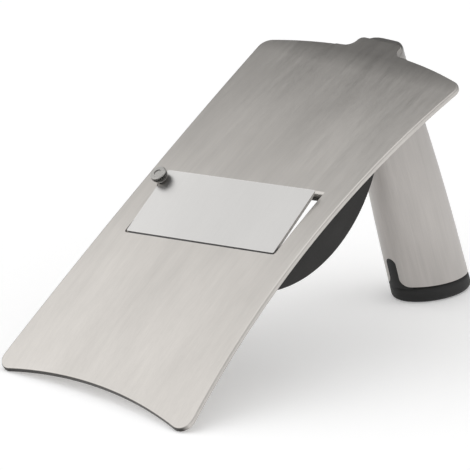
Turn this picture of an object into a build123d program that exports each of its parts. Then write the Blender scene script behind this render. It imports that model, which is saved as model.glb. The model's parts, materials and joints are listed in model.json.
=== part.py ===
"""Mandoline slicer: a bowed steel plate on an oval handle, with a tilting blade over its window.

Millimetres, +Z up. +X runs across the plate, +Y runs up the plate towards the handle.
The origin is the middle of the footprint, on the surface that the slicer stands on.
"""

import os
from math import asin, cos, degrees, radians, sin, sqrt, tan

from build123d import *

os.makedirs("parts", exist_ok=True)

# Slicing plate: a waisted sheet, bowed lengthwise about an axis along X
plate_middle = (0, -36.95, 55.77)  # top surface, half way along
plate_slope = 35.26  # degrees, half way along
plate_bow_radius = 608.0
plate_thickness = 2.2
plate_chord = 174.4  # between the corners of the two ends
lower_end_width = 99.4
upper_end_width = 100.6
waist_width = 89.9
lower_end_hollow = 7.1
upper_end_crown = 7.8
plate_corner_radius = 5.0
plate_edge_radius = 0.6

# Window in the plate: a parallelogram, higher up the plate at its right end
skew = 7.2  # degrees
window_width = 70.0
window_low = -14.2  # along the plate from its middle, at the window's centre line
window_high = 17.9
window_corner_radius = 1.2
lip_radius = 2.6  # outside of the rolled upper edge
lip_turn = 80.0  # degrees that the edge is rolled down
lip_straight = 0.5

# Blade
blade_tilt = 6.2  # degrees above the plate's middle tangent
blade_low = -13.4  # lower edge, along the plate from its middle
blade_left = -34.3
blade_right = 34.0
blade_depth = 28.7  # from the lower edge to the cutting edge
blade_thickness = 1.3
blade_sink = 0.15  # lower edge below the plate's middle tangent
bevel_width = 3.2
cutting_edge_thickness = 0.25
blade_corner_radius = 0.6

# Hinge under the blade's lower edge
hinge_in = 3.0  # from the blade's lower edge
hinge_drop = 4.6  # below the blade's top face
rod_radius = 1.5
running_clearance = 0.05
knuckle_at = 22.0  # either side of the middle
knuckle_width = 7.0
knuckle_radius = 2.6
knuckle_foot_start = 0.6
knuckle_foot_length = 9.0
knuckle_foot_thickness = 1.0
spacer_radius = 1.95
spacer_play = 0.3
rod_half_length = 42.2
rod_chamfer = 0.3
hinge_boss_face = 37.6  # from the middle, along the rod
hinge_boss_radius = 3.2
hinge_boss_set_in = 1.0  # from the cheek's outer face

# Adjusting screw: an M3 thread along the plate's normal
screw_across = -34.4
screw_along = 6.5
screw_radius = 1.5
ear_radius = 2.45
ear_slot_radius = 1.75
ear_slot_travel = 0.7
ear_slot_shift = -0.08  # from the screw's axis, up the blade
ear_notch_radius = 3.1
ear_height = 2.46  # above the plate, at the screw's axis
washer_bottom = 2.86  # heights are above the plate, along the screw
washer_top = 3.4
washer_cone = 0.28
washer_radius = 2.6
head_bottom = 3.42
head_height = 2.8
head_radius = 3.2
head_neck_radius = 2.7
head_flare = 0.9
head_chamfer = 0.35
dimple_radius = 1.5
dimple_depth = 0.3
knurl_radius = 0.3
knurl_count = 20
knurl_circle_radius = 3.32
knurl_clear_top = 0.6
thread_chamfer = 0.3
insert_top = -4.0
insert_bottom = -9.5
insert_radius = 2.5
insert_groove_depth = 0.3
insert_groove_width = 0.8
insert_groove_heights = (1.6, 3.4)  # above the insert's lower end
boss_radius = 3.8
boss_bottom = -10.0
boss_web_half = 2.6
spring_wire_radius = 0.2
spring_high = 0.7
spring_radius = 2.1
spring_turns = 5
spring_end_gap = 0.05
clip_top = -11.26
clip_thickness = 0.5
clip_radius = 2.4
clip_groove_radius = 1.1
clip_play = 0.03
clip_mouth_half = 0.9
screw_end = -13.0

# Cheeks under the plate's two edges
cheek_outer = 43.0
cheek_thickness = 2.5
cheek_low = -24.0  # where the curved edge meets the plate, along it
cheek_high = 45.6
cheek_depth = 13.4
cheek_gap = 0.05
cheek_edge_radius = 0.8
pad_radius = 4.0
pad_thickness = 3.0
pad_across = 37.0
pad_low_left = -7.0
pad_low_right = -14.0
pad_high = 34.0
stud_radius = 1.5
stud_length = 7.6
weld_gap = 0.02
stud_hole_clearance = 0.15
nut_across_flats = 5.5
nut_height = 2.4
stud_washer_radius = 3.2
stud_washer_thickness = 0.5
fastener_gap = 0.03

# Handle: an oval tube that leans back towards its foot
handle_lean = 21.06  # degrees from upright
foot_middle = 84.23  # where the handle's axis meets the ground, along Y
handle_sections = (  # distance up the axis, half width, half depth
    (-12.0, 12.4, 18.9),
    (20.0, 12.0, 17.9),
    (45.0, 11.7, 17.0),
    (75.0, 11.2, 15.0),
    (122.0, 10.6, 14.0),
)
tube_wall = 1.2
neck_joint = 92.0  # up the axis, where the neck meets the tube
socket_curl_radius = 8.0  # where the plate's end turns down into the handle
socket_rim_radius = 3.5
socket_root_radius = 4.0  # beside the socket, in the outline of the plate's end
socket_root_length = 5.7
socket_root_corner = 2.2
socket_root_span = 36.0
socket_root_depth = 7.0
socket_reach = 30.0  # of the block that the socket is shaped from
socket_overlap = 5.0
socket_cavity_top = 98.0
fit_gap = 0.1
plug_gap = 0.15
cap_height = 7.0
cap_edge_radius = 2.2
tongue_width = 4.8
tongue_top = 18.8  # above the ground
tongue_root_radius = 3.5
tongue_root_depth = 1.0  # of the tongue and the spigot in the cap
foot_front = 53.0  # a plane in front of the foot, along Y
foot_slot_reach = 20.0
lower_plug_low = 16.0
lower_plug_high = 32.0
upper_plug_low = 80.0
nut_pocket_top = 21.6
nut_pocket_radius = 6.0
tie_radius = 2.5
tie_thread_depth = 9.0
tie_end_play = 1.0
tie_nut_across_flats = 8.0
tie_nut_height = 4.0
tie_washer_radius = 5.0
tie_washer_thickness = 1.0
tie_rod_low = 16.4

# Cuts and blocks are made longer than the body that they pass through
past_plate = 10.0
past_slicer = 60.0

# Frames that everything else is placed from
across = Vector(1, 0, 0)
plate_normal = Vector(0, -sin(radians(plate_slope)), cos(radians(plate_slope)))
plate_plane = Plane(origin=plate_middle, x_dir=across, z_dir=plate_normal)
side_plane = Plane(origin=plate_middle, x_dir=plate_plane.y_dir, z_dir=across)
half_chord = plate_chord / 2


def surface_plane(u, t):
    """Plane tangent to the plate's top surface, u across and t along from the middle."""
    turn = degrees(asin(t / plate_bow_radius))
    drop = plate_bow_radius * (1 - cos(radians(turn)))
    normal = plate_normal.rotate(Axis.X, -turn)
    return Plane(origin=plate_plane.from_local_coords((u, t, -drop)), x_dir=across, z_dir=normal)


def turned(plane, angle):
    """The same plane with its x and y axes turned about its normal."""
    x_dir = plane.x_dir.rotate(Axis((0, 0, 0), plane.z_dir), angle)
    return Plane(origin=plane.origin, x_dir=x_dir, z_dir=plane.z_dir)


def skewed_height(t, u):
    """Along-plate place of a skewed line that crosses the middle at t."""
    return t + u * tan(radians(skew))


def handle_plane(d):
    """Plane across the handle, d up its axis from the ground, with +Y towards the back."""
    axis = Vector(0, -sin(radians(handle_lean)), cos(radians(handle_lean)))
    return Plane(origin=Vector(0, foot_middle, 0) + axis * d, x_dir=across, z_dir=axis)


def handle_solid(inset, low, high):
    """The handle's oval body, inset all round, between two distances up its axis."""
    with BuildPart() as body:
        for d, half_width, half_depth in handle_sections:
            with BuildSketch(handle_plane(d)):
                Ellipse(half_width - inset, half_depth - inset)
        loft()
        split(bisect_by=handle_plane(low), keep=Keep.TOP)
        split(bisect_by=handle_plane(high), keep=Keep.BOTTOM)
    return body.part


def ring(plane, low, high, inner, outer):
    """A plain ring along the plane's normal, between two heights."""
    with BuildPart() as body:
        with BuildSketch(plane.offset(low)):
            Circle(outer)
            Circle(inner, mode=Mode.SUBTRACT)
        extrude(amount=high - low)
    return body.part


def finish(part, name):
    """Label a finished piece and write it."""
    part.label = name
    export_step(part, f"parts/{name}.step")


# Socket under the plate's end, which the handle's tube butts against
handle_top = handle_sections[-1][0]
handle_base = handle_sections[0][0]
plate_end = surface_plane(0, half_chord + upper_end_crown)
tube_back = handle_plane(neck_joint).from_local_coords((0, handle_sections[-1][2], 0))
handle_axis = handle_plane(0).z_dir
bow_middle = plate_plane.from_local_coords((0, 0, -plate_bow_radius))
tube_back_out = tube_back - bow_middle
out_along = tube_back_out.dot(handle_axis)
bow_gap = plate_bow_radius**2 - tube_back_out.dot(tube_back_out)
curl_corner = tube_back + handle_axis * (sqrt(out_along**2 + bow_gap) - out_along)
curl_low = tube_back - handle_axis * socket_overlap
plate_inside = surface_plane(0, half_chord + upper_end_crown - socket_reach).origin
socket_front = plate_inside - Vector(0, 0, socket_reach)

with BuildPart() as socket:
    add(handle_solid(0, neck_joint, handle_top))
    with BuildSketch(Plane.YZ) as socket_side:
        with BuildLine():
            corners = [curl_corner, curl_low, socket_front, plate_inside]
            Polyline(*[(p.Y, p.Z) for p in corners])
            on_plate = [plate_inside, plate_end.origin, curl_corner]
            ThreePointArc(*[(p.Y, p.Z) for p in on_plate])
        make_face()
        curl = socket_side.vertices().sort_by(Axis.Y)[-2:].sort_by(Axis.X)[-1]
        fillet(curl, socket_curl_radius)
    extrude(amount=socket_reach, both=True, mode=Mode.INTERSECT)
    rim = socket.edges().filter_by(GeomType.BSPLINE).sort_by(Axis.Z)[-2:]
    fillet(rim, socket_rim_radius)
    add(handle_solid(tube_wall, handle_base, socket_cavity_top), mode=Mode.SUBTRACT)
    with BuildSketch(handle_plane(socket_cavity_top)):
        Circle(tie_radius + running_clearance)
    extrude(amount=tie_thread_depth, mode=Mode.SUBTRACT)

# Slicing plate
side_u = window_width / 2
lip_frame = turned(surface_plane(0, window_high), skew)
lip_plane = Plane(origin=lip_frame.origin, x_dir=lip_frame.y_dir, z_dir=lip_frame.x_dir)
lip_inner = lip_radius - plate_thickness
lip_sin = sin(radians(lip_turn))
lip_cos = cos(radians(lip_turn))
lip_bend = (-lip_radius * lip_sin, lip_radius * (lip_cos - 1))
lip_tip = (lip_bend[0] - lip_straight * lip_cos, lip_bend[1] - lip_straight * lip_sin)
lip_back = (lip_tip[0] + plate_thickness * lip_sin, lip_tip[1] - plate_thickness * lip_cos)
lip_back_bend = (-lip_inner * lip_sin, lip_inner * lip_cos - lip_radius)
lip_root = 1.0  # how far the lip's root reaches into the plate
lip_root_step = 0.06

with BuildPart() as lip:
    with BuildSketch(lip_plane):
        with BuildLine():
            RadiusArc((0, 0), lip_bend, -lip_radius)
            Polyline(lip_bend, lip_tip, lip_back, lip_back_bend)
            RadiusArc(lip_back_bend, (0, -plate_thickness), lip_inner)
            Polyline(
                (0, -plate_thickness),
                (0, -plate_thickness + lip_root_step),
                (lip_root, -plate_thickness + lip_root_step),
                (lip_root, -lip_root_step),
                (0, -lip_root_step),
                (0, 0),
            )
        make_face()
    extrude(amount=window_width, both=True)
    split(bisect_by=Plane.YZ.offset(side_u), keep=Keep.BOTTOM)
    split(bisect_by=Plane.YZ.offset(-side_u), keep=Keep.TOP)

with BuildSketch(plate_plane) as outline:
    with BuildLine():
        lower_left = (-lower_end_width / 2, -half_chord)
        lower_right = (lower_end_width / 2, -half_chord)
        upper_right = (upper_end_width / 2, half_chord)
        upper_left = (-upper_end_width / 2, half_chord)
        ThreePointArc(lower_left, (0, lower_end_hollow - half_chord), lower_right)
        ThreePointArc(lower_right, (waist_width / 2, 0), upper_right)
        ThreePointArc(upper_right, (0, half_chord + upper_end_crown), upper_left)
        ThreePointArc(upper_left, (-waist_width / 2, 0), lower_left)
    make_face()
    fillet(outline.vertices(), plate_corner_radius)

with BuildSketch(side_plane) as bowed_ring:
    with Locations((0, -plate_bow_radius)):
        Circle(plate_bow_radius)
        Circle(plate_bow_radius - plate_thickness, mode=Mode.SUBTRACT)

# Curved roots in the plate's end, either side of the socket
plate_end_at = half_chord + upper_end_crown
socket_half_width = handle_sections[-1][1]

with BuildPart() as socket_root:
    with BuildSketch(plate_plane) as root_outline:
        add(outline.sketch_local)
        with Locations((0, plate_end_at)):
            tab_size = (2 * socket_half_width, 2 * socket_root_length)
            RectangleRounded(*tab_size, socket_root_corner)
        for side in (-1, 1):
            root = (side * socket_half_width, plate_end_at)
            fillet(root_outline.vertices().sort_by_distance(root)[0], socket_root_radius)
        with Locations((0, plate_end_at)):
            Rectangle(socket_root_span, 2 * socket_root_depth, mode=Mode.INTERSECT)
    extrude(amount=past_plate, both=True)
    with BuildSketch(side_plane):
        add(bowed_ring.sketch_local)
    extrude(amount=past_slicer, both=True, mode=Mode.INTERSECT)

with BuildPart() as slicing_plate:
    with BuildSketch(plate_plane):
        add(outline.sketch_local)
    extrude(amount=past_plate, both=True)
    with BuildSketch(side_plane):
        add(bowed_ring.sketch_local)
    extrude(amount=past_slicer, both=True, mode=Mode.INTERSECT)
    side_face = slicing_plate.faces().filter_by(GeomType.CYLINDER).sort_by(SortBy.RADIUS)[-1]
    fillet(side_face.outer_wire().edges(), plate_edge_radius)
    with BuildSketch(surface_plane(0, window_high)) as window:
        with BuildLine():
            Polyline(
                (-side_u, skewed_height(window_low - window_high, -side_u)),
                (side_u, skewed_height(window_low - window_high, side_u)),
                (side_u, skewed_height(0, side_u)),
                (-side_u, skewed_height(0, -side_u)),
                close=True,
            )
        make_face()
        fillet(window.vertices().sort_by(Axis.Y)[:2], window_corner_radius)
    extrude(amount=past_plate, both=True, mode=Mode.SUBTRACT)
    with BuildSketch(surface_plane(screw_across, screw_along)):
        Circle(ear_notch_radius)
    extrude(amount=past_plate, both=True, mode=Mode.SUBTRACT)
    add(lip.part)
    add(socket_root.part)
    add(socket.part)
finish(slicing_plate.part, "slicing_plate")

# Blade: a parallelogram with an ear at its upper left for the adjusting screw
skew_frame = turned(plate_plane, skew)
blade_normal = skew_frame.z_dir.rotate(Axis((0, 0, 0), skew_frame.x_dir), blade_tilt)
blade_origin = plate_plane.from_local_coords((0, blade_low, -blade_sink))
blade_plane = Plane(origin=blade_origin, x_dir=skew_frame.x_dir, z_dir=blade_normal)
screw_plane = surface_plane(screw_across, screw_along)
ear_middle = blade_plane.to_local_coords(
    screw_plane.origin + screw_plane.z_dir * ear_height
)


def blade_side_plane(x):
    """Plane across the hinge's axis, with X up the blade and Y along its normal."""
    origin = blade_plane.from_local_coords((x, 0, 0))
    return Plane(origin=origin, x_dir=blade_plane.y_dir, z_dir=blade_plane.x_dir)


with BuildPart() as blade:
    with BuildSketch(blade_plane) as blade_outline:
        with BuildLine():
            left = blade_left / cos(radians(skew))
            right = blade_right / cos(radians(skew))
            lean = blade_depth * tan(radians(skew))
            Polyline(
                (left, 0),
                (right, 0),
                (right + lean, blade_depth),
                (left + lean, blade_depth),
                close=True,
            )
        make_face()
        fillet(blade_outline.vertices(), blade_corner_radius)
        with Locations((ear_middle.X, ear_middle.Y)):
            Circle(ear_radius)
        with Locations((ear_middle.X, ear_middle.Y + ear_slot_shift)):
            SlotCenterToCenter(
                ear_slot_travel,
                2 * ear_slot_radius,
                rotation=90,
                mode=Mode.SUBTRACT,
            )
    extrude(amount=-blade_thickness)
    with BuildSketch(blade_side_plane(0)):
        with BuildLine():
            Polyline(
                (blade_depth - bevel_width, -blade_thickness),
                (blade_depth, -cutting_edge_thickness),
                (blade_depth + bevel_width, -cutting_edge_thickness),
                (blade_depth + bevel_width, -2 * blade_thickness),
                (blade_depth - bevel_width, -2 * blade_thickness),
                close=True,
            )
        make_face()
    extrude(amount=past_slicer, both=True, mode=Mode.SUBTRACT)
finish(blade.part, "blade")

# Hinge: knuckles welded under the blade turn on a rod held in the cheeks
hinge_point = (hinge_in, -hinge_drop)
for side, name in ((-1, "left"), (1, "right")):
    with BuildPart() as knuckle:
        with BuildSketch(blade_side_plane(side * knuckle_at)):
            with Locations(hinge_point):
                Circle(knuckle_radius)
            with Locations((hinge_in, -(hinge_drop + blade_thickness) / 2)):
                Rectangle(2 * knuckle_radius, hinge_drop - blade_thickness)
            with Locations((knuckle_foot_start, -blade_thickness)):
                Rectangle(
                    knuckle_foot_length,
                    knuckle_foot_thickness,
                    align=(Align.MIN, Align.MAX),
                )
            with Locations(hinge_point):
                Circle(rod_radius + running_clearance, mode=Mode.SUBTRACT)
        extrude(amount=knuckle_width / 2, both=True)
    finish(knuckle.part, f"hinge_knuckle_{name}")

hinge_plane = Plane(
    origin=blade_plane.from_local_coords((0, hinge_in, -hinge_drop)),
    x_dir=blade_plane.y_dir,
    z_dir=blade_plane.x_dir,
)
with BuildPart() as hinge_rod:
    with BuildSketch(hinge_plane):
        Circle(rod_radius)
    extrude(amount=rod_half_length, both=True)
    chamfer(hinge_rod.edges().filter_by(GeomType.CIRCLE), rod_chamfer)
finish(hinge_rod.part, "hinge_rod")

spacer_low = knuckle_at + knuckle_width / 2 + spacer_play
spacer_high = hinge_boss_face - spacer_play
spacer_inner = rod_radius + running_clearance
right_spacer = ring(hinge_plane, spacer_low, spacer_high, spacer_inner, spacer_radius)
left_spacer = ring(hinge_plane, -spacer_high, -spacer_low, spacer_inner, spacer_radius)
finish(right_spacer, "rod_spacer_right")
finish(left_spacer, "rod_spacer_left")

# Cheeks: moulded sides that hold the hinge rod, and on the left the screw's insert
under_plate = plate_bow_radius - plate_thickness - cheek_gap
cheek_middle = (cheek_low + cheek_high) / 2
pads = {-1: (pad_low_left, pad_high), 1: (pad_low_right, pad_high)}


def build_cheek(side):
    """One cheek, on the +X side for 1 and the -X side for -1."""
    with BuildPart() as cheek:
        outer_face = side_plane.offset(side * cheek_outer)
        with BuildSketch(outer_face) as arc:
            with BuildLine():
                start = (cheek_low, -plate_thickness)
                end = (cheek_high, -plate_thickness)
                ThreePointArc(start, (cheek_middle, -plate_thickness - cheek_depth), end)
                Line(end, start)
            make_face()
        extrude(amount=-side * cheek_thickness)
        rim = cheek.edges().filter_by(GeomType.CIRCLE)
        fillet(rim, cheek_edge_radius)
        web_length = cheek_outer - cheek_thickness - pad_across
        for t in pads[side]:
            with BuildSketch(surface_plane(side * pad_across, t).offset(-plate_thickness)):
                Circle(pad_radius)
                with Locations((side * web_length / 2, 0)):
                    Rectangle(web_length, 2 * pad_radius)
            extrude(amount=-pad_thickness)
        with BuildSketch(hinge_plane.offset(side * hinge_boss_face)):
            Circle(hinge_boss_radius)
        extrude(amount=side * (cheek_outer - hinge_boss_face - hinge_boss_set_in))
        if side < 0:
            with BuildSketch(screw_plane.offset(boss_bottom)):
                Circle(boss_radius)
                web_length = cheek_outer - cheek_thickness + screw_across
                with Locations((-web_length / 2, 0)):
                    Rectangle(web_length, 2 * boss_web_half)
            extrude(amount=-boss_bottom)
        with BuildSketch(side_plane):
            with Locations((0, -plate_bow_radius)):
                Circle(under_plate)
        extrude(amount=past_slicer, both=True, mode=Mode.INTERSECT)
        with BuildSketch(hinge_plane.offset(side * hinge_boss_face)):
            Circle(rod_radius + running_clearance)
        extrude(
            amount=side * (rod_half_length + spacer_play - hinge_boss_face),
            mode=Mode.SUBTRACT,
        )
        for t in pads[side]:
            with BuildSketch(surface_plane(side * pad_across, t)):
                Circle(stud_radius + stud_hole_clearance)
            extrude(amount=-past_plate, mode=Mode.SUBTRACT)
        if side < 0:
            with BuildSketch(screw_plane.offset(boss_bottom)):
                Circle(insert_radius)
            extrude(amount=-boss_bottom, mode=Mode.SUBTRACT)
    return cheek.part


finish(build_cheek(1), "side_cheek_right")
finish(build_cheek(-1), "side_cheek_left")

# Fixings that hold the cheeks to the plate, four of each
stud_places = [(side * pad_across, t) for side in (-1, 1) for t in pads[side]]
pad_face = -plate_thickness - pad_thickness
nut_top = pad_face - stud_washer_thickness
with BuildPart() as weld_studs:
    for u, t in stud_places:
        with BuildSketch(surface_plane(u, t).offset(-plate_thickness - weld_gap)):
            Circle(stud_radius)
        extrude(amount=-stud_length)
finish(weld_studs.part, "weld_studs")

with BuildPart() as stud_washers:
    for u, t in stud_places:
        with BuildSketch(surface_plane(u, t).offset(pad_face)):
            Circle(stud_washer_radius)
            Circle(stud_radius + stud_hole_clearance, mode=Mode.SUBTRACT)
        extrude(amount=-stud_washer_thickness)
finish(stud_washers.part, "stud_washers")

with BuildPart() as stud_nuts:
    for u, t in stud_places:
        with BuildSketch(surface_plane(u, t).offset(nut_top)):
            RegularPolygon(nut_across_flats / 2, 6, major_radius=False)
            Circle(stud_radius + fastener_gap, mode=Mode.SUBTRACT)
        extrude(amount=-nut_height)
finish(stud_nuts.part, "stud_nuts")

# Adjusting screw, its insert, spring, washer and clip
with BuildPart() as threaded_insert:
    with BuildSketch(screw_plane.offset(insert_bottom)):
        Circle(insert_radius - fastener_gap)
        Circle(screw_radius + running_clearance, mode=Mode.SUBTRACT)
    extrude(amount=insert_top - insert_bottom)
    for height in insert_groove_heights:
        with BuildSketch(screw_plane.offset(insert_bottom + height)):
            Circle(insert_radius)
            Circle(insert_radius - insert_groove_depth, mode=Mode.SUBTRACT)
        extrude(amount=insert_groove_width, mode=Mode.SUBTRACT)
finish(threaded_insert.part, "threaded_insert")

spring_low = insert_top + spring_wire_radius + spring_end_gap
spring_height = spring_high - spring_low
spring_foot = screw_plane.offset(spring_low).origin
spring_pitch = spring_height / spring_turns
with BuildPart() as blade_spring:
    with BuildLine() as coil:
        Helix(
            spring_pitch,
            spring_height,
            spring_radius,
            center=spring_foot,
            direction=screw_plane.z_dir,
        )
    with BuildSketch(Plane(origin=coil.line @ 0, z_dir=coil.line % 0)):
        Circle(spring_wire_radius)
    sweep()
finish(blade_spring.part, "blade_spring")

washer_inner = screw_radius + running_clearance
screw_side_plane = Plane(
    origin=screw_plane.origin, x_dir=screw_plane.x_dir, z_dir=-screw_plane.y_dir
)
screw_axis = Axis(screw_plane.origin, screw_plane.z_dir)
with BuildPart() as thrust_washer:
    with BuildSketch(screw_side_plane):
        with BuildLine():
            Polyline(
                (washer_inner, washer_bottom),
                (washer_radius, washer_bottom + washer_cone),
                (washer_radius, washer_top),
                (washer_inner, washer_top),
                close=True,
            )
        make_face()
    revolve(axis=screw_axis)
finish(thrust_washer.part, "thrust_washer")

clip_groove_low = clip_top - clip_thickness
with BuildPart() as thumbscrew:
    with BuildSketch(screw_side_plane):
        with BuildLine():
            Polyline(
                (0, screw_end),
                (screw_radius - thread_chamfer, screw_end),
                (screw_radius, screw_end + thread_chamfer),
                (screw_radius, clip_groove_low),
                (clip_groove_radius, clip_groove_low),
                (clip_groove_radius, clip_top),
                (screw_radius, clip_top),
                (screw_radius, head_bottom),
                (head_neck_radius, head_bottom),
                (head_radius, head_bottom + head_flare),
                (head_radius, head_bottom + head_height - head_chamfer),
                (head_radius - head_chamfer, head_bottom + head_height),
                (dimple_radius, head_bottom + head_height),
                (dimple_radius, head_bottom + head_height - dimple_depth),
                (0, head_bottom + head_height - dimple_depth),
                close=True,
            )
        make_face()
    revolve(axis=screw_axis)
    with BuildSketch(screw_plane.offset(head_bottom)):
        with PolarLocations(knurl_circle_radius, knurl_count):
            Circle(knurl_radius)
    extrude(amount=head_height - knurl_clear_top, mode=Mode.SUBTRACT)
finish(thumbscrew.part, "thumbscrew")

with BuildPart() as retaining_clip:
    with BuildSketch(screw_plane.offset(clip_groove_low + clip_play)):
        Circle(clip_radius)
        Circle(clip_groove_radius + fastener_gap, mode=Mode.SUBTRACT)
        with Locations((clip_radius, 0)):
            Rectangle(2 * clip_radius, 2 * clip_mouth_half, mode=Mode.SUBTRACT)
    extrude(amount=clip_thickness - 2 * clip_play)
finish(retaining_clip.part, "retaining_clip")

# Handle tube, with a slot in the front of its foot for the cap's tongue
def tongue_prism(gap):
    """The tongue's front outline, smaller by a gap, run back through the tube's front wall."""
    half = tongue_width / 2 - gap
    flare = half + tongue_root_radius
    shoulder = cap_height + tongue_root_radius - gap
    arc_in = tongue_root_radius * (1 - cos(radians(45)))
    with BuildPart() as prism:
        with BuildSketch(Plane.XZ.offset(-foot_front)) as front:
            with BuildLine():
                Line((0, 0), (flare, 0))
                Line((flare, 0), (flare, cap_height - gap))
                ThreePointArc(
                    (flare, cap_height - gap),
                    (half + arc_in, shoulder - tongue_root_radius + arc_in),
                    (half, shoulder),
                )
                Line((half, shoulder), (half, tongue_top - half))
                ThreePointArc(
                    (half, tongue_top - half),
                    (half * cos(radians(45)), tongue_top - half + half * sin(radians(45))),
                    (0, tongue_top),
                )
                Line((0, tongue_top), (0, 0))
            make_face()
            mirror(about=Plane.YZ)
        extrude(amount=-foot_slot_reach)
    return prism.part


ground_cap = Plane.XY.offset(cap_height)
with BuildPart() as handle_shell:
    add(handle_solid(0, handle_base, neck_joint))
    add(handle_solid(tube_wall, handle_base, neck_joint), mode=Mode.SUBTRACT)
    split(bisect_by=ground_cap, keep=Keep.TOP)
    add(tongue_prism(0), mode=Mode.SUBTRACT)
finish(handle_shell.part, "handle_shell")

# Foot cap: a ground-level slice of the oval, a spigot inside the tube and the tongue
with BuildPart() as tongue:
    add(handle_solid(0, handle_base, neck_joint))
    add(handle_solid(tube_wall, handle_base, neck_joint), mode=Mode.SUBTRACT)
    split(bisect_by=ground_cap.offset(-tongue_root_depth), keep=Keep.TOP)
    add(tongue_prism(fit_gap), mode=Mode.INTERSECT)

with BuildPart() as spigot:
    add(handle_solid(tube_wall + fit_gap, handle_base, lower_plug_low - fit_gap))
    split(bisect_by=ground_cap.offset(-tongue_root_depth), keep=Keep.TOP)

with BuildPart() as foot_cap:
    add(handle_solid(0, handle_base, neck_joint))
    split(bisect_by=ground_cap, keep=Keep.BOTTOM)
    split(bisect_by=Plane.XY, keep=Keep.TOP)
    fillet(foot_cap.faces().sort_by(Axis.Z)[0].edges(), cap_edge_radius)
    add(spigot.part)
    add(tongue.part)
finish(foot_cap.part, "foot_cap")

# Plugs, and the rod that ties the foot's plug to the socket
with BuildPart() as lower_plug:
    add(handle_solid(tube_wall + plug_gap, lower_plug_low, lower_plug_high))
    with BuildSketch(handle_plane(lower_plug_low)):
        Circle(nut_pocket_radius)
    extrude(amount=nut_pocket_top - lower_plug_low, mode=Mode.SUBTRACT)
    with BuildSketch(handle_plane(lower_plug_low)):
        Circle(tie_radius + fit_gap)
    extrude(amount=lower_plug_high - lower_plug_low, mode=Mode.SUBTRACT)
finish(lower_plug.part, "lower_plug")

with BuildPart() as upper_plug:
    add(handle_solid(tube_wall + plug_gap, upper_plug_low, socket_cavity_top - fit_gap))
    with BuildSketch(handle_plane(upper_plug_low)):
        Circle(tie_radius + fit_gap)
    extrude(amount=socket_cavity_top - upper_plug_low, mode=Mode.SUBTRACT)
finish(upper_plug.part, "upper_plug")

with BuildPart() as tie_rod:
    with BuildSketch(handle_plane(tie_rod_low)):
        Circle(tie_radius)
    extrude(amount=socket_cavity_top + tie_thread_depth - tie_end_play - tie_rod_low)
    chamfer(tie_rod.edges().filter_by(GeomType.CIRCLE), rod_chamfer)
finish(tie_rod.part, "tie_rod")

washer_low = nut_pocket_top - tie_washer_thickness
tie_washer = ring(
    handle_plane(0), washer_low, nut_pocket_top, tie_radius + fit_gap, tie_washer_radius
)
finish(tie_washer, "tie_washer")

with BuildPart() as tie_nut:
    with BuildSketch(handle_plane(washer_low)):
        RegularPolygon(tie_nut_across_flats / 2, 6, major_radius=False)
        Circle(tie_radius + fastener_gap, mode=Mode.SUBTRACT)
    extrude(amount=-tie_nut_height)
finish(tie_nut.part, "tie_nut")
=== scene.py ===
"""Looks of the mandoline slicer: brushed steel, charcoal cheeks and a rubber foot, on a pale floor.

Metres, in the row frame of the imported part: +X across the plate, +Y up the plate, +Z up.
"""

import json
import math

import bpy
from mathutils import Matrix, Vector

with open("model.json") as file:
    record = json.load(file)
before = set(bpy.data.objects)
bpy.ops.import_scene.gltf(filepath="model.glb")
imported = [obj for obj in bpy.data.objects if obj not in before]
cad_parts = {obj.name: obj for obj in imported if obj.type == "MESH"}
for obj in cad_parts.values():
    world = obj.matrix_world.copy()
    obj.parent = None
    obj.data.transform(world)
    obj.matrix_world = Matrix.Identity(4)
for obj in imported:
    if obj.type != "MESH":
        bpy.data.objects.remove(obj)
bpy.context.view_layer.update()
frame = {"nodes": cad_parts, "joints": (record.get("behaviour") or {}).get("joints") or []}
nodes = frame["nodes"]

MM = 0.001

# Directions of the part, from its joints
joints = {joint["name"]: joint for joint in frame["joints"]}
screw_axis = Vector(joints["screw_turn"]["axis"])
blade_axis = Vector(joints["blade_tilt"]["axis"])
plate_slope = math.atan2(-screw_axis.y, screw_axis.z)
plate_up = Vector((0.0, math.cos(plate_slope), math.sin(plate_slope)))
handle_lean = math.radians(21.06)
right = Vector((1.0, 0.0, 0.0))
up = Vector((0.0, 0.0, 1.0))
behind_plate = Vector((0.0, 0.93, -0.36))

# Turns from the object's axes to each grain's own axes, with the grain along local Y
along_plate = (plate_slope, 0.0, 0.0)
along_handle = (math.pi / 2 + handle_lean, 0.0, 0.0)


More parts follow.
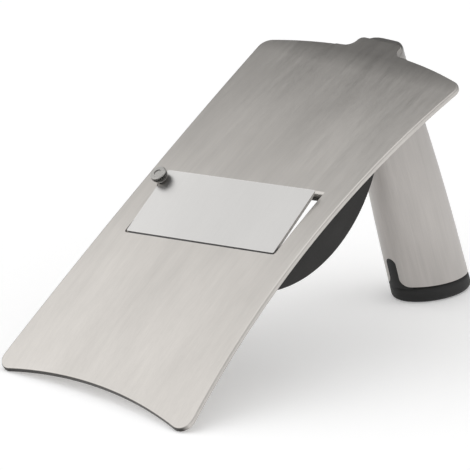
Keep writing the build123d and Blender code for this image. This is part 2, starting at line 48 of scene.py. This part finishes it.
class Nodes:
    """A material's node tree, with short ways to add a node and to join two."""

    def __init__(self, name):
        self.material = bpy.data.materials.new(name)
        self.material.use_nodes = True
        self.tree = self.material.node_tree
        self.tree.nodes.clear()
        self.output = self.add("ShaderNodeOutputMaterial")
        self.shader = self.add("ShaderNodeBsdfPrincipled")
        self.join(self.shader.outputs["BSDF"], self.output.inputs["Surface"])

    def add(self, kind, **settings):
        node = self.tree.nodes.new(kind)
        for key, value in settings.items():
            setattr(node, key, value)
        return node

    def join(self, source, target):
        self.tree.links.new(source, target)

    def place(self, rotation=(0.0, 0.0, 0.0), scale=(1.0, 1.0, 1.0)):
        """Object coordinates, turned to the grain's axes and then scaled."""
        coordinates = self.add("ShaderNodeTexCoord")
        turn = self.add("ShaderNodeMapping", vector_type="TEXTURE")
        turn.inputs["Rotation"].default_value = rotation
        stretch = self.add("ShaderNodeMapping", vector_type="POINT")
        stretch.inputs["Scale"].default_value = scale
        self.join(coordinates.outputs["Object"], turn.inputs["Vector"])
        self.join(turn.outputs["Vector"], stretch.inputs["Vector"])
        return stretch.outputs["Vector"]

    def noise(self, vector, detail=3.0, roughness=0.5):
        node = self.add("ShaderNodeTexNoise")
        node.inputs["Scale"].default_value = 1.0
        node.inputs["Detail"].default_value = detail
        node.inputs["Roughness"].default_value = roughness
        self.join(vector, node.inputs["Vector"])
        return node.outputs["Fac"]

    def range(self, value, low, high, new_low, new_high):
        node = self.add("ShaderNodeMapRange")
        node.clamp = True
        self.join(value, node.inputs["Value"])
        for key, number in zip(
            ("From Min", "From Max", "To Min", "To Max"), (low, high, new_low, new_high)
        ):
            node.inputs[key].default_value = number
        return node.outputs["Result"]

    def maths(self, operation, a, b):
        node = self.add("ShaderNodeMath", operation=operation)
        for socket, value in zip(node.inputs, (a, b)):
            if isinstance(value, (int, float)):
                socket.default_value = value
            else:
                self.join(value, socket)
        return node.outputs["Value"]

    def ramp(self, value, stops):
        """Colours placed along a value from 0 to 1."""
        node = self.add("ShaderNodeValToRGB")
        elements = node.color_ramp.elements
        while len(elements) < len(stops):
            elements.new(0.5)
        for element, (position, colour) in zip(elements, stops):
            element.position = position
            element.color = (*colour, 1.0)
        self.join(value, node.inputs["Fac"])
        return node.outputs["Color"]

    def blend(self, factor, a, b):
        node = self.add("ShaderNodeMix", data_type="RGBA")
        self.join(factor, node.inputs["Factor"])
        for socket, value in zip((node.inputs[6], node.inputs[7]), (a, b)):
            if isinstance(value, tuple):
                socket.default_value = (*value, 1.0)
            else:
                self.join(value, socket)
        return node.outputs[2]

    def edges(self, radius):
        """0 on flat stretches, rising to 1 along edges that are tighter than the radius."""
        bevel = self.add("ShaderNodeBevel", samples=6)
        bevel.inputs["Radius"].default_value = radius
        geometry = self.add("ShaderNodeNewGeometry")
        dot = self.add("ShaderNodeVectorMath", operation="DOT_PRODUCT")
        self.join(bevel.outputs["Normal"], dot.inputs[0])
        self.join(geometry.outputs["Normal"], dot.inputs[1])
        return self.range(dot.outputs["Value"], 0.995, 0.88, 0.0, 1.0)

    def facing(self, axis, low, high):
        """0 where the surface faces away from a direction, rising to 1 where it faces that way."""
        coordinates = self.add("ShaderNodeTexCoord")
        dot = self.add("ShaderNodeVectorMath", operation="DOT_PRODUCT")
        dot.inputs[1].default_value = axis
        self.join(coordinates.outputs["Normal"], dot.inputs[0])
        return self.range(dot.outputs["Value"], low, high, 0.0, 1.0)

    def along(self, axis, low, high):
        """0 below one place along an axis of the object, rising to 1 at another, in metres."""
        coordinates = self.add("ShaderNodeTexCoord")
        dot = self.add("ShaderNodeVectorMath", operation="DOT_PRODUCT")
        dot.inputs[1].default_value = axis
        self.join(coordinates.outputs["Object"], dot.inputs[0])
        return self.range(dot.outputs["Value"], low, high, 0.0, 1.0)

    def shade(self, mask, factor):
        """1 where a mask is 0, and the factor where it is 1."""
        return self.range(mask, 0.0, 1.0, 1.0, factor)

    def dim(self, colour, amount):
        """A colour multiplied by an amount."""
        node = self.add("ShaderNodeVectorMath", operation="SCALE")
        self.join(colour, node.inputs[0])
        self.join(amount, node.inputs["Scale"])
        return node.outputs["Vector"]

    def bump(self, height, strength, distance, after=None):
        node = self.add("ShaderNodeBump")
        node.inputs["Strength"].default_value = strength
        node.inputs["Distance"].default_value = distance
        self.join(height, node.inputs["Height"])
        if after is not None:
            self.join(after, node.inputs["Normal"])
        return node.outputs["Normal"]


def scaled(colour, factor):
    """A colour made lighter or darker, warm tint kept."""
    return tuple(min(1.0, channel * factor) for channel in colour)


def brushed_steel(
    name, colour, rotation, roughness, grain, spread=0.10, painted_shade_way=None, painted_shade=()
):
    """Steel with drawn grain along one axis, soft bands, faint marks and brighter worn edges.

    grain is the streaks' width in metres; spread is how far the bands vary the colour; edges that
    face painted_shade_way are painted dull and dark, as painted shade on the lower rim. painted_shade
    lists places (axis, low, high, factor) past which the steel is painted darker, as painted shade.
    """
    m = Nodes(name)
    fine = m.noise(m.place(rotation, (1 / grain, 0.012 / grain, 1 / grain)), 4.0, 0.6)
    coarse_width = grain * 7
    coarse = m.noise(m.place(rotation, (1 / coarse_width, 18.0, 1 / coarse_width)), 3.0)
    cloud = m.noise(m.place(rotation, (45.0, 14.0, 45.0)), 4.0, 0.55)
    blotch = m.noise(m.place(rotation, (26.0, 11.0, 26.0)), 3.0, 0.6)
    marks = m.noise(m.place(rotation, (900.0, 90.0, 900.0)), 2.0, 0.7)
    streaks = m.maths("ADD", m.maths("MULTIPLY", fine, 0.55), m.maths("MULTIPLY", coarse, 0.45))
    bands = m.maths("ADD", m.maths("MULTIPLY", streaks, 0.6), m.maths("MULTIPLY", cloud, 0.4))
    dark = scaled(colour, 1 - spread)
    light = scaled(colour, 1 + spread)
    body = m.ramp(m.range(bands, 0.34, 0.66, 0.0, 1.0), [(0.0, dark), (0.5, colour), (1.0, light)])
    scratch = m.range(marks, 0.70, 0.80, 0.0, 0.35)
    worn = m.maths("MULTIPLY", m.edges(0.6 * MM), m.range(cloud, 0.3, 0.6, 0.45, 1.0))
    tinted = m.blend(scratch, body, scaled(colour, 1.10))
    finish = m.blend(worn, tinted, scaled(colour, 1.08))
    blotches_and_painted_shade = m.range(blotch, 0.32, 0.68, 1 - spread * 0.8, 1 + spread * 0.5)
    # Painted shade: the steel is painted darker past each listed place along an axis.
    for axis, low, high, factor in painted_shade:
        blotches_and_painted_shade = m.maths("MULTIPLY", blotches_and_painted_shade, m.shade(m.along(axis, low, high), factor))
    finish = m.dim(finish, blotches_and_painted_shade)
    # Painted shade: edges that face one direction, the lower rim, are painted nearly black.
    if painted_shade_way is not None:
        finish = m.blend(m.facing(painted_shade_way, 0.45, 0.85), finish, scaled(colour, 0.12))
    m.join(finish, m.shader.inputs["Base Color"])
    rough = m.range(bands, 0.3, 0.7, roughness - 0.06, roughness + 0.08)
    polished = m.maths("SUBTRACT", rough, m.maths("MULTIPLY", worn, 0.10))
    m.join(polished, m.shader.inputs["Roughness"])
    m.shader.inputs["Metallic"].default_value = 1.0
    deep = m.bump(coarse, 0.10, grain * 0.5)
    m.join(m.bump(fine, 0.35, grain * 0.35, deep), m.shader.inputs["Normal"])
    return m.material


def moulded(name, colour, roughness, texture, specular=0.4):
    """Moulded plastic or rubber with a spark-eroded texture, faint scuffs and dusty, worn edges.

    texture is the width of the pores in metres.
    """
    m = Nodes(name)
    pores = m.noise(m.place(scale=(1 / texture,) * 3), 2.0, 0.6)
    cloud = m.noise(m.place(scale=(70.0, 70.0, 70.0)), 4.0, 0.6)
    scuffs = m.noise(m.place((0.5, 0.3, 0.7), (1500.0, 120.0, 700.0)), 3.0, 0.7)
    dark = scaled(colour, 0.82)
    light = scaled(colour, 1.22)
    body = m.ramp(m.range(cloud, 0.3, 0.7, 0.0, 1.0), [(0.0, dark), (0.5, colour), (1.0, light)])
    scuffed = m.blend(m.range(scuffs, 0.62, 0.78, 0.0, 0.4), body, scaled(colour, 1.6))
    worn = m.maths("MULTIPLY", m.edges(0.5 * MM), m.range(cloud, 0.35, 0.65, 0.25, 0.8))
    m.join(m.blend(worn, scuffed, scaled(colour, 1.9)), m.shader.inputs["Base Color"])
    rough = m.range(pores, 0.3, 0.7, roughness - 0.08, roughness + 0.08)
    m.join(rough, m.shader.inputs["Roughness"])
    m.shader.inputs["Specular IOR Level"].default_value = specular
    m.join(m.bump(pores, 0.35, texture * 0.35), m.shader.inputs["Normal"])
    return m.material


def turned_metal(name, colour, axis, roughness, pitch=0.12 * MM, side=1.0):
    """Metal from a lathe: fine rings round an axis, with oil-dark hollows and bright corners.

    pitch is the width of the rings in metres; side paints the faces round the axis darker, as
    painted shade for the shaded side of the thumbscrew's knurl.
    """
    m = Nodes(name)
    turn = axis.to_track_quat("Z", "Y").to_euler()
    rings = m.noise(m.place(tuple(turn), (60.0, 60.0, 1 / pitch)), 3.0, 0.6)
    cloud = m.noise(m.place(scale=(600.0, 600.0, 600.0)), 3.0, 0.6)
    dark = scaled(colour, 0.75)
    light = scaled(colour, 1.12)
    body = m.ramp(m.range(rings, 0.3, 0.7, 0.0, 1.0), [(0.0, dark), (0.5, colour), (1.0, light)])
    grime_and_painted_shade = m.blend(m.range(cloud, 0.55, 0.8, 0.0, 0.5), body, scaled(colour, 0.55))
    # Painted shade: the faces round the axis are painted dark, as on the knurl's shaded side.
    if side < 1.0:
        grime_and_painted_shade = m.blend(m.facing(axis, 0.35, 0.8), scaled(colour, side), grime_and_painted_shade)
    # Edge wear, and partly a painted highlight: the brightened corners stand in for the bright
    # chamfered rim of the thumbscrew's head.
    worn = m.edges(0.25 * MM)
    m.join(m.blend(worn, grime_and_painted_shade, scaled(colour, 1.25)), m.shader.inputs["Base Color"])
    m.join(m.range(cloud, 0.3, 0.7, roughness - 0.07, roughness + 0.09), m.shader.inputs["Roughness"])
    m.shader.inputs["Metallic"].default_value = 1.0
    m.join(m.bump(rings, 0.25, pitch * 0.4), m.shader.inputs["Normal"])
    return m.material


def paint(material, *names):
    """The material on these CAD nodes, in every slot that they have."""
    for name in names:
        slots = nodes[name].material_slots
        if not slots:
            nodes[name].data.materials.append(material)
        for material_slot in slots:
            material_slot.material = material


# Steel: painted shade darkens the plate towards its top, on the dome and on the neck behind it
warm_steel = (0.60, 0.575, 0.545)
pale_steel = (0.62, 0.612, 0.60)
grey_steel = (0.50, 0.475, 0.455)
lathe_steel = (0.58, 0.56, 0.54)
plate_painted_shade = (
    (plate_up, 0.055, 0.100, 0.82),
    (up, 0.0985, 0.1030, 0.64),
    (behind_plate, 0.006, 0.014, 0.74),
)
plate_steel = brushed_steel(
    "plate_steel", warm_steel, along_plate, 0.34, 0.28 * MM, 0.09, -plate_up, plate_painted_shade
)
# Painted shade: the blade is painted darker towards its right side.
blade_painted_shade = ((right, -0.030, 0.005, 0.93),)
blade_steel = brushed_steel(
    "blade_steel", pale_steel, along_plate, 0.34, 0.16 * MM, 0.035, -plate_up, blade_painted_shade
)
# Painted shade: the handle is painted darker on its left side and towards its top, by the plate.
handle_painted_shade = (
    (-right, -0.007, 0.006, 0.80),
    (up, 0.042, 0.075, 0.84),
)
handle_steel = brushed_steel(
    "handle_steel", grey_steel, along_handle, 0.36, 0.30 * MM, painted_shade=handle_painted_shade
)
hinge_steel = turned_metal("hinge_steel", (0.55, 0.55, 0.54), blade_axis, 0.30)
screw_steel = turned_metal("screw_steel", (0.50, 0.49, 0.47), screw_axis, 0.30, side=0.03)
washer_steel = turned_metal("washer_steel", lathe_steel, screw_axis, 0.26)
spring_steel = turned_metal("spring_steel", (0.42, 0.42, 0.42), screw_axis, 0.32, 0.2 * MM)
insert_brass = turned_metal("insert_brass", (0.72, 0.50, 0.20), screw_axis, 0.30)
fixing_steel = turned_metal("fixing_steel", (0.52, 0.52, 0.51), screw_axis, 0.33)

# Plastic and rubber
cheek_plastic = moulded("cheek_plastic", (0.020, 0.019, 0.018), 0.56, 0.30 * MM, 0.28)
cap_rubber = moulded("cap_rubber", (0.014, 0.014, 0.014), 0.60, 0.22 * MM, 0.35)
plug_plastic = moulded("plug_plastic", (0.09, 0.09, 0.09), 0.50, 0.35 * MM)

paint(plate_steel, "slicing_plate")
paint(blade_steel, "blade")
paint(handle_steel, "handle_shell")
paint(hinge_steel, "hinge_rod", "hinge_knuckle_left", "hinge_knuckle_right")
paint(hinge_steel, "rod_spacer_left", "rod_spacer_right")
paint(screw_steel, "thumbscrew")
paint(washer_steel, "thrust_washer", "retaining_clip")
paint(spring_steel, "blade_spring")
paint(insert_brass, "threaded_insert")
paint(fixing_steel, "weld_studs", "stud_washers", "stud_nuts", "tie_rod", "tie_washer", "tie_nut")
paint(cheek_plastic, "side_cheek_left", "side_cheek_right")
paint(cap_rubber, "foot_cap")
paint(plug_plastic, "lower_plug", "upper_plug")

# Floor: one pale sheet, far wider than the slicer
floor_half = 6.0
floor_signs = ((-1, -1), (1, -1), (1, 1), (-1, 1))
floor_corners = [(x * floor_half, y * floor_half, 0.0) for x, y in floor_signs]
floor_mesh = bpy.data.meshes.new("floor")
floor_mesh.from_pydata(floor_corners, [], [(0, 1, 2, 3)])
floor = bpy.data.objects.new("floor", floor_mesh)
bpy.context.scene.collection.objects.link(floor)
floor_paint = Nodes("floor_paint")
floor_paint.shader.inputs["Roughness"].default_value = 0.85
floor_paint.shader.inputs["Base Color"].default_value = (0.92, 0.92, 0.92, 1.0)
floor_paint.shader.inputs["Specular IOR Level"].default_value = 0.2
floor_paint.shader.inputs["Emission Color"].default_value = (1.0, 1.0, 1.0, 1.0)
floor_paint.shader.inputs["Emission Strength"].default_value = 0.22
floor_mesh.materials.append(floor_paint.material)

# Studio light: a surround that is brightest in front of the slicer, and one large soft box
world = bpy.data.worlds.new("studio")
world.use_nodes = True
bpy.context.scene.world = world
surround = world.node_tree
background = surround.nodes["Background"]
background.inputs["Color"].default_value = (1.0, 1.0, 1.0, 1.0)
direction = surround.nodes.new("ShaderNodeTexCoord")
room_axes = surround.nodes.new("ShaderNodeSeparateXYZ")
surround.links.new(direction.outputs["Generated"], room_axes.inputs["Vector"])


def surround_range(axis, low, high, new_low, new_high):
    """A smooth step in the surround's brightness along one axis of the room."""
    node = surround.nodes.new("ShaderNodeMapRange")
    node.interpolation_type = "SMOOTHSTEP"
    node.inputs["From Min"].default_value = low
    node.inputs["From Max"].default_value = high
    node.inputs["To Min"].default_value = new_low
    node.inputs["To Max"].default_value = new_high
    surround.links.new(room_axes.outputs[axis], node.inputs["Value"])
    return node.outputs["Result"]


def surround_maths(operation, a, b):
    """The sum, product or other result of two values of the surround."""
    node = surround.nodes.new("ShaderNodeMath")
    node.operation = operation
    surround.links.new(a, node.inputs[0])
    surround.links.new(b, node.inputs[1])
    return node.outputs["Value"]


front_to_back = surround_range("Y", -0.28, 0.26, 1.30, 0.24)
beside = surround_range("X", -0.1, 0.5, 0.0, 0.74)
not_beside = surround_range("X", -0.1, 0.5, 1.0, 0.0)
elsewhere = surround_maths("MULTIPLY", front_to_back, not_beside)
light_level = surround_maths("ADD", elsewhere, beside)
surround.links.new(light_level, background.inputs["Strength"])

target = Vector((0.0, -0.02, 0.05))


def soft_box(name, direction, distance, size, power):
    """A square area light that looks at the slicer from a direction."""
    data = bpy.data.lights.new(name, "AREA")
    data.shape = "SQUARE"
    data.size = size
    data.energy = power
    light = bpy.data.objects.new(name, data)
    towards = Vector(direction).normalized()
    light.location = target + towards * distance
    light.rotation_euler = towards.to_track_quat("Z", "Y").to_euler()
    bpy.context.scene.collection.objects.link(light)


soft_box("top", (0.0, 0.25, 1.0), 2.5, 3.0, 12.0)

# Camera
camera_data = bpy.data.cameras.new("camera")
camera_data.sensor_width = 36.0
camera_data.lens = 245.9
camera = bpy.data.objects.new("camera", camera_data)
camera_right = Vector((0.71728, 0.69666, 0.01285))
camera_up = Vector((-0.20986, 0.19840, 0.95739))
camera_back = camera_right.cross(camera_up)
camera_place = Matrix.Translation((0.78615, -0.84453, 0.38782))
camera_turn = Matrix((camera_right, camera_up, camera_back)).transposed()
camera.matrix_world = camera_place @ camera_turn.to_4x4()
bpy.context.scene.collection.objects.link(camera)
bpy.context.scene.camera = camera
bpy.context.scene.view_settings.view_transform = "Standard"
